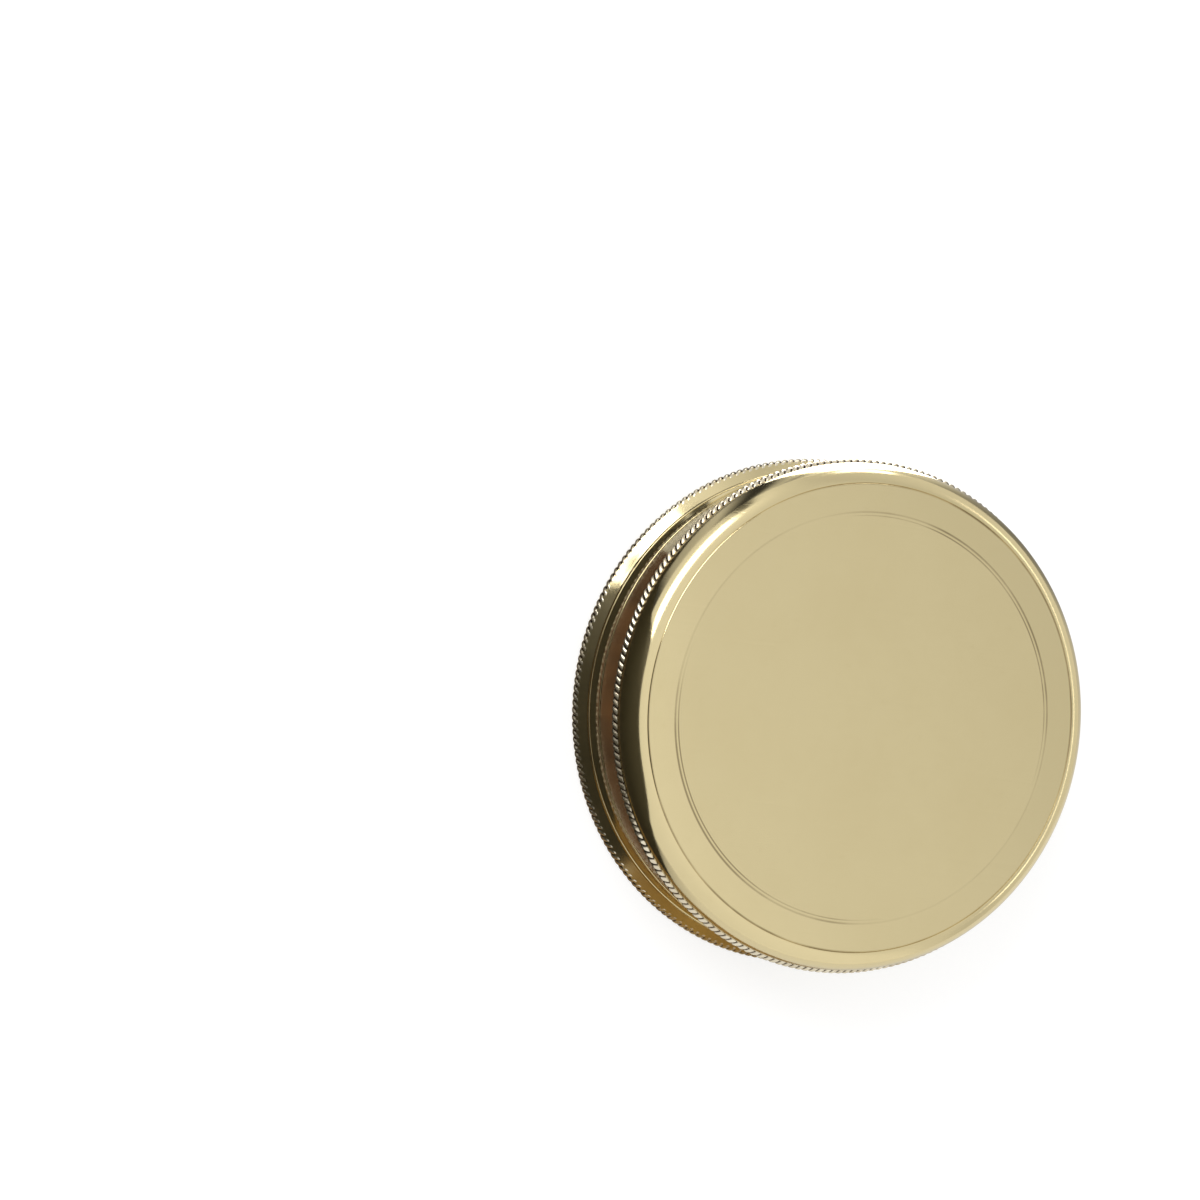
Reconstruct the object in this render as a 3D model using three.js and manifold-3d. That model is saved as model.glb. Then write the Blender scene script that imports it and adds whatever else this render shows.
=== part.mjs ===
// Calendar compass: a closed brass pocket compass, 76 mm across, lying on its foot.
// Millimetres, +Z up. The origin is the middle of the foot's underside, and north is +Y.
// The lid screws onto a spigot of the case. Under the foot is a calendar with a turning disc.

import * as THREE from 'three';
import { mergeVertices } from 'three/addons/utils/BufferGeometryUtils.js';
import Module from 'manifold-3d';

const wasm = await Module();
wasm.setup();

// Outside of the case and the lid
const gripRadius = 38; // over both knurled rings
const wallRadius = 36; // plain wall of the lid
const totalHeight = 21.1;
const seamHeight = 6.6; // where the lid meets the case
const seamGap = 0.3;
const lidRingBottom = 15.05;
const faceRadius = 34.4; // flat face of the lid
const faceStep = 0.12; // the face stands a hair over the shoulder
const shoulderRadius = 37.4;
const shoulderDrop = 3.7;
const lipHeight = 1.25; // plain band of the case under the seam
const coveRadius = 35.15; // the narrowest place of the cove
const beadRadius = 36.3;
const beadWidth = 0.8;
const beadBottom = 2.2;

// Rope-knurled rings, one round the lid and one round the foot
const ringWidth = 1.5;
const ringDepth = 0.65; // how far the crest stands over the edges
const knurlTeeth = 216;
const knurlDepth = 0.45;
const knurlLean = 1.4; // how far a tooth runs round from edge to edge, in teeth

// Inside of the case and the lid
const spigotRadius = 34.3;
const spigotTop = 15.7;
const lidClearance = 0.3;
const lidThickness = 1.2;
const recessRadius = 33; // calendar recess under the foot
const floorBottom = 3.4;
const floorTop = 4.6;
const dialSeat = 5.8;
const dialRadius = 31.1;
const dialThickness = 0.8;
const bossRadius = 1.8; // pillars on the floor that the dial is screwed to
const glassSeat = 12.6;
const glassRadius = 32.5;
const glassThickness = 1.4;
const gasketThickness = 0.4;
const degreeRingHeight = 1.6;
const degreeRingInner = 26.3;
const play = 0.05; // left between pieces that lie on each other
const fit = 0.08; // radial clearance of a pin in its hole

// Needle and pivot
const needleReach = 23;
const needleWidth = 5.4;
const needleThickness = 0.5;
const needleHeight = 9.2;
const weightPlace = -15;
const pivotShank = 1.5;
const pivotTop = 8.6;
const pinRadius = 0.4;
const pinTip = 10.75;
const pinDepth = 1.5; // how far the steel point sits in its post
const hubNeck = 1.7;
const hubRadius = 2.3;
const jewelRadius = 1.1;
const jewelBottom = 10.2;
const jewelTop = 11.3;

// Calendar
const calendarPlateRadius = 32.7;
const calendarPlateThickness = 1;
const calendarDiscRadius = 24.5;
const calendarDiscThickness = 0.7;
const windowInner = 15.4;
const windowOuter = 18.6;
const windowAngle = 82; // degrees of arc
const rivetShank = 2;
const rivetHead = 3.4;
const washerRadius = 3.8;
const pegCircle = 20.8;
const pegRadius = 1.1;
const pegShank = 0.6;
const pegFoot = 0.35; // the peg ends this high over the table

// Screws
const screwShank = 0.6;
const screwHead = 1.25;
const screwHeadHeight = 0.6;
const dialScrews = { count: 3, circle: 24, first: 30 };
const calendarScrews = { count: 4, circle: 29.6, first: 45 };

// Sides of a full turn
const caseSteps = 60;
const innerSteps = 48;
const smallSteps = 16;

// Heights that follow from the ones above
const dialTop = dialSeat + play + dialThickness;
const glassBottom = glassSeat + gasketThickness + 2 * play;
const glassTop = glassBottom + glassThickness;
const calendarPlateBottom = floorBottom - play - calendarPlateThickness;
const calendarDiscTop = calendarPlateBottom - 3 * play;
const calendarDiscBottom = calendarDiscTop - calendarDiscThickness;
const washerBottom = calendarDiscBottom - 0.35;

const brass = { color: 0xc8a45c, roughness: 0.22, metalness: 1 };
const steel = { color: 0xb9bcc0, roughness: 0.3, metalness: 1 };
const silvered = { color: 0xd8d5c8, roughness: 0.45, metalness: 0.8 };
const blued = { color: 0x1f2f6b, roughness: 0.3, metalness: 1 };
const clear = { color: 0xf2f7f7, roughness: 0.03, metalness: 0, transparent: true, opacity: 0.25 };
const rubber = { color: 0x1b1b1b, roughness: 0.85, metalness: 0 };
const stone = { color: 0x9c1f3a, roughness: 0.1, metalness: 0 };

const compass = new THREE.Group();

function addPiece(name, geometry, finish) {
  const mesh = new THREE.Mesh(geometry, new THREE.MeshStandardMaterial(finish));
  mesh.name = name;
  compass.add(mesh);
  return mesh;
}

// Turns a section of [radius, height] points about the Z axis. The section runs outwards along its
// underside and comes back along its top.
function turned(section, steps = smallSteps) {
  const points = section.map(([r, z]) => new THREE.Vector2(r, z));
  return new THREE.LatheGeometry(points, steps).rotateX(Math.PI / 2);
}

// Points of part of an ellipse in a section, from one angle to another in degrees.
function arc(r, z, radiusR, radiusZ, from, to, count) {
  return Array.from({ length: count + 1 }, (_, i) => {
    const angle = THREE.MathUtils.degToRad(from + ((to - from) * i) / count);
    return [r + radiusR * Math.cos(angle), z + radiusZ * Math.sin(angle)];
  });
}

// A ring's section closes on itself, a solid disc's starts and ends on the axis.
const ring = (inner, outer, bottom, top) => [
  [inner, bottom], [outer, bottom], [outer, top], [inner, top], [inner, bottom],
];
const disc = (radius, bottom, top) => [[0, bottom], [radius, bottom], [radius, top], [0, top]];

function toSolid(geometry) {
  const bare = geometry.clone();
  bare.deleteAttribute('normal');
  bare.deleteAttribute('uv');
  const merged = mergeVertices(bare, 1e-4);
  return new wasm.Manifold(new wasm.Mesh({
    numProp: 3,
    vertProperties: new Float32Array(merged.attributes.position.array),
    triVerts: new Uint32Array(merged.index.array),
  }));
}

function fromSolid(solid) {
  const { vertProperties, triVerts } = solid.getMesh();
  const geometry = new THREE.BufferGeometry();
  geometry.setAttribute('position', new THREE.BufferAttribute(vertProperties, 3));
  geometry.setIndex(new THREE.BufferAttribute(triVerts, 1));
  geometry.computeVertexNormals();
  return geometry;
}

function machined(blank, { joined = [], removed = [] }) {
  let solid = toSolid(blank);
  for (const piece of joined) solid = solid.add(toSolid(piece));
  for (const tool of removed) solid = solid.subtract(toSolid(tool));
  return fromSolid(solid);
}

// Places spaced evenly on a circle, as [x, y], the first at an angle in degrees.
function onCircle({ count, circle, first }) {
  return Array.from({ length: count }, (_, i) => {
    const angle = THREE.MathUtils.degToRad(first + (360 * i) / count);
    return [circle * Math.cos(angle), circle * Math.sin(angle)];
  });
}

// One upright pin or hole of the given radius at each place on a circle.
function pins(places, radius, bottom, top) {
  return onCircle(places).map(([x, y]) => turned(disc(radius, bottom, top)).translate(x, y, 0));
}

// A rope-knurled ring, closed like a tube. Each row of points runs round it with one point for each
// tooth, or along the crest with a ridge and a valley for each. The rows are turned against each
// other, so that the teeth slant.
function ropeRing(bottom) {
  const positions = [];
  const index = [];
  const addRow = (z, lean, ...radii) => {
    const start = positions.length / 3;
    const count = knurlTeeth * radii.length;
    for (let step = 0; step < count; step += 1) {
      const angle = ((lean + step / radii.length) / knurlTeeth) * 2 * Math.PI;
      const radius = radii[step % radii.length];
      positions.push(radius * Math.cos(angle), radius * Math.sin(angle), z);
    }
    return { each: radii.length, at: (step) => start + (step % count) };
  };
  const join = (low, high) => {
    let [i, j] = [0, 0];
    while (i < knurlTeeth * low.each || j < knurlTeeth * high.each) {
      const lowNext = (i + 1) / low.each <= (j + 1) / high.each;
      index.push(low.at(i), lowNext ? low.at(i + 1) : high.at(j + 1), high.at(j));
      if (lowNext) i += 1;
      else j += 1;
    }
  };
  const top = bottom + ringWidth;
  const edge = gripRadius - ringDepth;
  const root = wallRadius - 0.6; // hidden in the wall that carries the ring
  const half = knurlLean / 2;
  const rows = [
    addRow(bottom, -half, root),
    addRow(bottom, -half, edge),
    addRow((bottom + top) / 2, 0, gripRadius, gripRadius - knurlDepth),
    addRow(top, half, edge),
    addRow(top, half, root),
  ];
  rows.forEach((row, i) => join(row, rows[(i + 1) % rows.length]));
  const geometry = new THREE.BufferGeometry();
  geometry.setAttribute('position', new THREE.Float32BufferAttribute(positions, 3));
  geometry.setIndex(index);
  return geometry;
}

function lidShell() {
  const innerFace = totalHeight - lidThickness;
  const bore = spigotRadius + lidClearance;
  const bottom = seamHeight + seamGap / 2;
  const rim = totalHeight - faceStep;
  const insideRing = lidRingBottom + ringWidth / 4;
  const blank = turned([
    [0, innerFace],
    ...arc(bore - 1, innerFace - 1, 1, 1, 90, 0, 2),
    [bore, bottom],
    [wallRadius - 0.2, bottom],
    [wallRadius, bottom + 0.2],
    [wallRadius, insideRing],
    [shoulderRadius, insideRing],
    ...arc(faceRadius, rim - shoulderDrop, shoulderRadius - faceRadius, shoulderDrop, 0, 90, 5),
    [faceRadius - faceStep, totalHeight],
    [0, totalHeight],
  ], caseSteps);
  return machined(blank, { joined: [ropeRing(lidRingBottom)] });
}

function caseBody() {
  const lipTop = seamHeight - seamGap / 2;
  const lipBottom = lipTop - lipHeight;
  const lip = wallRadius - 0.1;
  const foot = gripRadius - ringDepth - 0.3; // hidden in the ring that it carries
  const insideRing = ringWidth - 0.3;
  const beadFlat = beadRadius - 0.25;
  const beadTop = beadBottom + beadWidth;
  const coveEnd = beadFlat + 0.05;
  const dialBore = dialRadius + 0.2;
  const glassBore = glassRadius + 0.3;
  const pivotHole = pivotShank + fit;
  const blank = turned([
    [pivotHole, floorBottom],
    [recessRadius, floorBottom],
    [recessRadius, 0.2],
    [recessRadius + 0.2, 0],
    [foot, 0],
    [foot, insideRing],
    [beadFlat, insideRing + 0.1],
    ...arc(beadFlat, beadBottom + beadWidth / 2, 0.25, beadWidth / 2, -90, 90, 2),
    ...arc(coveEnd, lipBottom - 0.1, coveEnd - coveRadius, lipBottom - 0.1 - beadTop, 270, 180, 5),
    [lip, lipBottom],
    [lip, lipTop],
    [spigotRadius, lipTop],
    [spigotRadius, spigotTop - 0.3],
    [spigotRadius - 0.3, spigotTop],
    [glassBore, spigotTop],
    [glassBore, glassSeat],
    [dialBore, glassSeat],
    [dialBore, dialSeat],
    [dialBore - 1.8, dialSeat],
    [dialBore - 1.8, floorTop],
    [pivotHole, floorTop],
    [pivotHole, floorBottom],
  ], caseSteps);
  return machined(blank, {
    joined: [ropeRing(0), ...pins(dialScrews, bossRadius, floorTop - 0.5, dialSeat)],
    removed: [
      ...pins(dialScrews, screwShank + fit, floorTop - 0.4, dialSeat + 1),
      ...pins(calendarScrews, screwShank + fit, floorBottom - 1, floorTop - 0.25),
    ],
  });
}

function dialPlate() {
  const bottom = dialSeat + play;
  const blank = turned(ring(2.4, dialRadius, bottom, dialTop), innerSteps);
  return machined(blank, { removed: pins(dialScrews, screwShank + fit, bottom - 1, dialTop + 1) });
}

// A slotted pan-head screw, its head standing on z = 0.
function panScrew(length) {
  const blank = turned([
    [0, -length],
    [screwShank, -length],
    [screwShank, 0],
    [screwHead, 0],
    [screwHead, screwHeadHeight / 2],
    [screwHead - 0.3, screwHeadHeight],
    [0, screwHeadHeight],
  ], 12);
  const slot = new THREE.BoxGeometry(screwHead * 3, 0.3, screwHeadHeight);
  return machined(blank, { removed: [slot.translate(0, 0, screwHeadHeight)] });
}

// Ring for the degree marks, with a flat top and a sloping inner face.
function degreeRing() {
  const bottom = dialTop + play;
  const top = bottom + degreeRingHeight;
  return turned([
    [degreeRingInner, bottom],
    [dialRadius, bottom],
    [dialRadius, top],
    [degreeRingInner + 2.2, top],
    [degreeRingInner, bottom + 0.3],
    [degreeRingInner, bottom],
  ], innerSteps);
}

// A stepped post with a blind hole in its nose for the steel point.
function pivotPost() {
  const flange = floorTop + play;
  const hole = pinRadius + fit;
  return turned([
    [0, floorBottom + 0.1],
    [pivotShank, floorBottom + 0.1],
    [pivotShank, flange],
    [3.2, flange],
    [3.2, flange + 0.85],
    [2.1, flange + 1.05],
    [2.1, dialTop + 0.6],
    [1, pivotTop],
    [hole, pivotTop],
    [hole, pivotTop - pinDepth],
    [0, pivotTop - pinDepth],
  ]);
}

function pivotPoint() {
  const foot = pivotTop - pinDepth + play;
  const cone = [[pinRadius, pinTip - 0.9], [0.06, pinTip - 0.06], [0, pinTip]];
  return turned([[0, foot], [pinRadius, foot], ...cone]);
}

// Spear head to the north, plain taper to the south, widest at the hub.
function needleBlade() {
  const half = needleWidth / 2;
  const neck = needleReach - 9;
  const outline = new THREE.Shape();
  outline.moveTo(0, needleReach);
  outline.quadraticCurveTo(-half * 0.9, needleReach - 7, -half * 0.42, neck);
  outline.quadraticCurveTo(-half * 0.7, 6, -half, 0);
  outline.quadraticCurveTo(-half * 0.7, -6, -0.9, weightPlace);
  outline.lineTo(0, -needleReach);
  outline.lineTo(0.9, weightPlace);
  outline.quadraticCurveTo(half * 0.7, -6, half, 0);
  outline.quadraticCurveTo(half * 0.7, 6, half * 0.42, neck);
  outline.quadraticCurveTo(half * 0.9, needleReach - 7, 0, needleReach);
  outline.holes.push(new THREE.Path().absarc(0, 0, hubNeck + fit, 0, Math.PI * 2, true));
  const options = { depth: needleThickness, bevelEnabled: false, curveSegments: 6 };
  return new THREE.ExtrudeGeometry(outline, options).translate(0, 0, needleHeight);
}

// The hub sits over the stone: its neck goes down through the blade, its head rests on it.
function needleHub() {
  const neckEnd = needleHeight - 0.3;
  const bladeTop = needleHeight + needleThickness + play;
  const bore = jewelRadius + fit;
  return turned([
    [0, jewelTop + play],
    [bore, jewelTop + play],
    [bore, neckEnd],
    [hubNeck, neckEnd],
    [hubNeck, bladeTop],
    [hubRadius, bladeTop],
    [hubRadius, bladeTop + 0.55],
    [1.5, jewelTop + 0.5],
    [0, jewelTop + 0.8],
  ]);
}

// Cup bearing: a cone in its underside takes the steel point.
function hubJewel() {
  return turned([
    [0, pinTip + play],
    [0.75, jewelBottom],
    [jewelRadius, jewelBottom],
    [jewelRadius, jewelTop],
    [0, jewelTop],
  ]);
}

// Flat sleeve round the south arm.
function balanceWeight() {
  const width = 2.7;
  const middle = needleHeight + needleThickness / 2;
  const blank = new THREE.BoxGeometry(width, 1.8, 1.3).translate(0, weightPlace, middle);
  const slot = new THREE.BoxGeometry(width - 0.6, 4, needleThickness + 2 * fit);
  return machined(blank, { removed: [slot.translate(0, weightPlace, middle)] });
}

function glassDisc() {
  const edge = 0.25;
  return turned([
    [0, glassBottom],
    [glassRadius - edge, glassBottom],
    [glassRadius, glassBottom + edge],
    [glassRadius, glassTop - edge],
    [glassRadius - edge, glassTop],
    [0, glassTop],
  ], innerSteps);
}

// Ring that screws down on the glass, with a sloping inner face and two slots for its key.
function glassRing() {
  const bottom = glassTop + play;
  const top = spigotTop - 0.1;
  const inner = glassRadius - 1.9;
  const outer = glassRadius + 0.2;
  const blank = turned([
    [inner + 0.3, bottom],
    [outer, bottom],
    [outer, top],
    [inner + 0.8, top],
    [inner, bottom + 0.3],
    [inner + 0.3, bottom],
  ], innerSteps);
  const slots = [-1, 1].map((side) => (
    new THREE.BoxGeometry(4, 1.6, 1).translate(side * (inner + 1), 0, top)
  ));
  return machined(blank, { removed: slots });
}

function calendarPlate() {
  const top = floorBottom - play;
  const blank = turned(ring(rivetShank + fit, calendarPlateRadius, calendarPlateBottom, top), innerSteps);
  return machined(blank, {
    removed: pins(calendarScrews, screwShank + fit, calendarPlateBottom - 1, top + 1),
  });
}

// Curved slot with round ends, through which seven weekdays of the plate show.
function calendarWindow() {
  const top = Math.PI / 2;
  const half = THREE.MathUtils.degToRad(windowAngle / 2);
  const middle = (windowInner + windowOuter) / 2;
  const endRadius = (windowOuter - windowInner) / 2;
  const [left, right] = [top + half, top - half];
  const outline = new THREE.Shape();
  const addEnd = (angle, from, to) => {
    outline.absarc(middle * Math.cos(angle), middle * Math.sin(angle), endRadius, from, to, false);
  };
  outline.absarc(0, 0, windowOuter, right, left, false);
  addEnd(left, left, left + Math.PI);
  outline.absarc(0, 0, windowInner, left, right, true);
  addEnd(right, right + Math.PI, right + 2 * Math.PI);
  const depth = calendarDiscThickness + 2;
  const options = { depth, bevelEnabled: false, curveSegments: 8 };
  return new THREE.ExtrudeGeometry(outline, options).translate(0, 0, calendarDiscBottom - 1);
}

function calendarDisc() {
  const hole = rivetShank + fit;
  const blank = turned([
    [hole, calendarDiscBottom],
    [calendarDiscRadius - 0.2, calendarDiscBottom],
    [calendarDiscRadius, calendarDiscBottom + 0.2],
    [calendarDiscRadius, calendarDiscTop],
    [hole, calendarDiscTop],
    [hole, calendarDiscBottom],
  ], innerSteps);
  const pegHole = turned(disc(pegShank + fit, calendarDiscBottom - 1, calendarDiscTop + 1));
  return machined(blank, { removed: [calendarWindow(), pegHole.translate(0, -pegCircle, 0)] });
}

// Finger peg with a rounded end, its shank riveted in the disc.
function calendarPeg() {
  const shoulder = calendarDiscBottom - play;
  const shankTop = calendarDiscTop - play;
  return turned([
    ...arc(0, pegFoot + 0.35, pegRadius, 0.35, -90, 0, 3),
    [pegRadius, shoulder],
    [pegShank, shoulder],
    [pegShank, shankTop],
    [0, shankTop],
  ]);
}

// Dished washer: its outer edge presses on the disc.
function calendarWasher() {
  const inner = rivetShank + fit;
  return turned([
    [inner, washerBottom],
    [washerRadius, washerBottom + 0.1],
    [washerRadius, washerBottom + 0.3],
    [inner, washerBottom + 0.2],
    [inner, washerBottom],
  ]);
}

function calendarRivet() {
  const headTop = washerBottom - play;
  const shankTop = floorBottom - play;
  return turned([
    ...arc(0, headTop - 0.15, rivetHead, 0.4, -90, 0, 5),
    [rivetHead, headTop],
    [rivetShank, headTop],
    [rivetShank, shankTop],
    [0, shankTop],
  ]);
}

addPiece('case_body', caseBody(), brass);
addPiece('lid_shell', lidShell(), brass);

addPiece('dial_plate', dialPlate(), silvered);
addPiece('degree_ring', degreeRing(), silvered);
onCircle(dialScrews).forEach(([x, y], i) => {
  const screw = addPiece(`dial_screw_${i + 1}`, panScrew(dialTop - floorTop - 0.1), brass);
  screw.position.set(x, y, dialTop + play);
});
addPiece('pivot_post', pivotPost(), brass);
addPiece('pivot_point', pivotPoint(), steel);

addPiece('needle_blade', needleBlade(), blued);
addPiece('needle_hub', needleHub(), brass);
addPiece('hub_jewel', hubJewel(), stone);
addPiece('balance_weight', balanceWeight(), brass);

const gasket = ring(glassRadius - 1.5, glassRadius, glassSeat + play, glassSeat + play + gasketThickness);
addPiece('glass_gasket', turned(gasket, innerSteps), rubber);
addPiece('glass', glassDisc(), clear);
addPiece('glass_ring', glassRing(), brass);

addPiece('calendar_plate', calendarPlate(), silvered);
onCircle(calendarScrews).forEach(([x, y], i) => {
  const screw = addPiece(`calendar_screw_${i + 1}`, panScrew(1.7), brass);
  screw.rotation.x = Math.PI;
  screw.position.set(x, y, calendarPlateBottom - play);
});
addPiece('calendar_disc', calendarDisc(), brass);
addPiece('calendar_peg', calendarPeg(), brass).position.set(0, -pegCircle, 0);
addPiece('calendar_washer', calendarWasher(), steel);
addPiece('calendar_rivet', calendarRivet(), brass);

export default compass;
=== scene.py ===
import math

import bmesh
import bpy
from mathutils import Matrix, Vector


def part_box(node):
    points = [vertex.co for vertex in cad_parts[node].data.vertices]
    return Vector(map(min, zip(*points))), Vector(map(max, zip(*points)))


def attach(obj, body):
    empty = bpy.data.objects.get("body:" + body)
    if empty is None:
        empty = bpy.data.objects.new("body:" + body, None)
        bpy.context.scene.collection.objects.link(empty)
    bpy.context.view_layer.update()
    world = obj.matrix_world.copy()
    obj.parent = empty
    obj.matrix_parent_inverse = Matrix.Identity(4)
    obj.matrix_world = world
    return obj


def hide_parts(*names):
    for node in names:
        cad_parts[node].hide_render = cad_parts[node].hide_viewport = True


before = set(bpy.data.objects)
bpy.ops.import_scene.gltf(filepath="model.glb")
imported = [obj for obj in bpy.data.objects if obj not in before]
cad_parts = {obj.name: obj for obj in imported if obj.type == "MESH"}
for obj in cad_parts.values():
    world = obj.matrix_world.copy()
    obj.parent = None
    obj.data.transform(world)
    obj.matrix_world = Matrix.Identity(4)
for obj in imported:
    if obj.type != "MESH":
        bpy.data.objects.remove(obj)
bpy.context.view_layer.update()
scene = bpy.context.scene
mm = 0.001  # lengths in this file are millimetres, and meshes become metres when they are made


def span(node):
    low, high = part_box(node)
    return low / mm, high / mm


lidLow, lidHigh = span("lid_shell")
caseTop = span("case_body")[1].z
gripRadius = lidHigh.x
print("frame loaded, grip radius", round(gripRadius, 2))

# Camera

view = {
    "lens": 117.0,
    "sensor": 36.0,
    "aimHeight": 17.45,  # a place on the compass's axis, near the lid's knurled ring
    "aimInView": Vector((0.983, -0.452, -15.098)),  # that place seen from the camera, in grip radii
    "axisInView": Vector((0.376, -0.029, 0.926)),  # the compass's own axis, as the camera sees it
}


def placeCamera():
    data = bpy.data.cameras.new("camera")
    data.lens = view["lens"]
    data.sensor_width = view["sensor"]
    data.clip_start = 0.01
    data.clip_end = 20
    camera = bpy.data.objects.new("camera", data)
    scene.collection.objects.link(camera)
    up = view["axisInView"].normalized()
    toCamera = -view["aimInView"]
    away = -(toCamera - toCamera.dot(up) * up).normalized()  # world +Y, away from the camera
    right = away.cross(up)
    turn = Matrix((right, away, up))
    place = Vector((0, 0, view["aimHeight"] * mm)) + turn @ toCamera * gripRadius * mm
    camera.matrix_world = Matrix.Translation(place) @ turn.to_4x4()
    scene.camera = camera


placeCamera()
scene.view_settings.view_transform = "Standard"

# Shader helpers and shared groups


def feed(tree, target, value):
    # Links a socket to the target, or sets a plain value on it
    if isinstance(value, bpy.types.NodeSocket):
        tree.links.new(value, target)
    else:
        target.default_value = value


def addNode(tree, kind, inputs=None, **settings):
    node = tree.nodes.new(kind)
    for name, value in settings.items():
        setattr(node, name, value)
    for name, value in (inputs or {}).items():
        feed(tree, node.inputs[name], value)
    return node


def grey(value):
    return (value, value, value, 1)


def ramp(tree, factor, stops):
    # Stops are (place, colour), and a single number is a grey
    node = addNode(tree, "ShaderNodeValToRGB", {"Fac": factor})
    elements = node.color_ramp.elements
    while len(elements) < len(stops):
        elements.new(0.5)
    for element, (place, colour) in zip(elements, stops):
        element.position = place
        element.color = colour if isinstance(colour, tuple) else grey(colour)
    return node.outputs["Color"]


def calculate(tree, operation, *values, clamp=False):
    node = addNode(tree, "ShaderNodeMath", dict(enumerate(values)), operation=operation, use_clamp=clamp)
    return node.outputs[0]


def mapRange(tree, value, fromMin, fromMax, toMin=0.0):
    inputs = {"Value": value, "From Min": fromMin, "From Max": fromMax, "To Min": toMin}
    return addNode(tree, "ShaderNodeMapRange", inputs).outputs[0]


def noise(tree, place, scale, detail=2.0, roughness=0.5):
    inputs = {"Vector": place, "Scale": scale, "Detail": detail, "Roughness": roughness}
    return addNode(tree, "ShaderNodeTexNoise", inputs).outputs["Fac"]


def blend(tree, factor, first, second):
    inputs = {"Factor": factor, "A": first, "B": second}
    return addNode(tree, "ShaderNodeMix", inputs, data_type="RGBA").outputs["Result"]


def mixShaders(tree, factor, first, second):
    return addNode(tree, "ShaderNodeMixShader", {0: factor, 1: first, 2: second}).outputs[0]


def objectPlace(tree):
    return addNode(tree, "ShaderNodeTexCoord").outputs["Object"]


def splitUp(tree, vector):
    return addNode(tree, "ShaderNodeSeparateXYZ", {0: vector}).outputs


def axisDistance(tree, place):
    flat = addNode(tree, "ShaderNodeVectorMath", {0: place, 1: (1, 1, 0)}, operation="MULTIPLY")
    return addNode(tree, "ShaderNodeVectorMath", {0: flat.outputs[0]}, operation="LENGTH").outputs["Value"]


def newGroup(name, inputs, outputs):
    # Sockets are given as a label and a default value, which tells a colour from a number
    tree = bpy.data.node_groups.new(name, "ShaderNodeTree")
    for side, sockets in (("INPUT", inputs), ("OUTPUT", outputs)):
        for label, default in sockets.items():
            kind = "NodeSocketColor" if isinstance(default, tuple) else "NodeSocketFloat"
            tree.interface.new_socket(label, in_out=side, socket_type=kind).default_value = default
    return tree, addNode(tree, "NodeGroupInput").outputs, addNode(tree, "NodeGroupOutput").inputs


def buildTarnish():
    # Slow cloudy toning of old polish, and small darker specks
    tones = {"Bright": grey(0.7), "Toned": grey(0.5), "Cloud Size": 60.0, "Amount": 0.3}
    tree, given, result = newGroup("tarnish", tones, {"Color": grey(1), "Cloud": 0.0})
    place = objectPlace(tree)
    cloud = ramp(tree, noise(tree, place, given["Cloud Size"], 6, 0.62), [(0.38, 0), (0.68, 1)])
    specks = ramp(tree, noise(tree, place, 900, 3), [(0.62, 0), (0.72, 1)])
    both = calculate(tree, "MULTIPLY_ADD", specks, 0.5, cloud)
    scaled = calculate(tree, "MULTIPLY", both, given["Amount"], clamp=True)
    feed(tree, result["Color"], blend(tree, scaled, given["Bright"], given["Toned"]))
    feed(tree, result["Cloud"], cloud)
    return tree


def buildTurning():
    # Fine rings left by the lathe, about the Z axis, with faint wiping scratches across them
    tree, given, result = newGroup("turning", {"Pitch": 9000.0, "Scratches": 0.5}, {"Height": 0.0})
    place = objectPlace(tree)
    section = {"X": axisDistance(tree, place), "Y": splitUp(tree, place)["Z"]}
    rings = noise(tree, addNode(tree, "ShaderNodeCombineXYZ", section).outputs[0], given["Pitch"])
    stretch = {"Vector": place, "Rotation": (0.0, 0.0, 0.7), "Scale": (2600, 90, 400)}
    wipes = noise(tree, addNode(tree, "ShaderNodeMapping", stretch).outputs[0], 1)
    scratches = ramp(tree, wipes, [(0.3, 0), (0.42, 1)])
    feed(tree, result["Height"], calculate(tree, "MULTIPLY_ADD", scratches, given["Scratches"], rings))
    return tree


def buildRoundMark():
    # Painted shade of a thin groove round the Z axis: a dark line, strong in two opposite quarters where the
    # groove lies in shade and fading between them, in random worn patches
    tree, given, result = newGroup("painted scribe shade", {"Radius": 0.03, "Width": 0.0002, "Least": 0.2}, {"Mask": 0.0})
    place = objectPlace(tree)
    radius = axisDistance(tree, place)
    distance = calculate(tree, "ABSOLUTE", calculate(tree, "SUBTRACT", radius, given["Radius"]))
    line = calculate(tree, "SUBTRACT", 1, calculate(tree, "DIVIDE", distance, given["Width"]), clamp=True)
    sides = splitUp(tree, place)
    product = calculate(tree, "MULTIPLY", sides["X"], sides["Y"])
    quarter = calculate(tree, "DIVIDE", product, calculate(tree, "MULTIPLY", radius, radius))
    # Painted shade: the line is strong in two opposite quarters and faint between them, as the light falls
    strength = mapRange(tree, quarter, 0.25, -0.2, given["Least"])
    # Random patches of wear
    patches = mapRange(tree, noise(tree, place, 90, 5), 0.38, 0.56, 0.35)
    worn = calculate(tree, "MULTIPLY", strength, patches)
    feed(tree, result["Mask"], calculate(tree, "MULTIPLY", line, worn))
    return tree


tarnish = buildTarnish()
turning = buildTurning()
scribeShade = buildRoundMark()


def newMaterial(name, inputs=None):
    material = bpy.data.materials.new(name)
    material.use_nodes = True
    tree = material.node_tree
    shader = tree.nodes["Principled BSDF"]
    for label, value in (inputs or {}).items():
        shader.inputs[label].default_value = value
    return material, tree, shader


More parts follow.
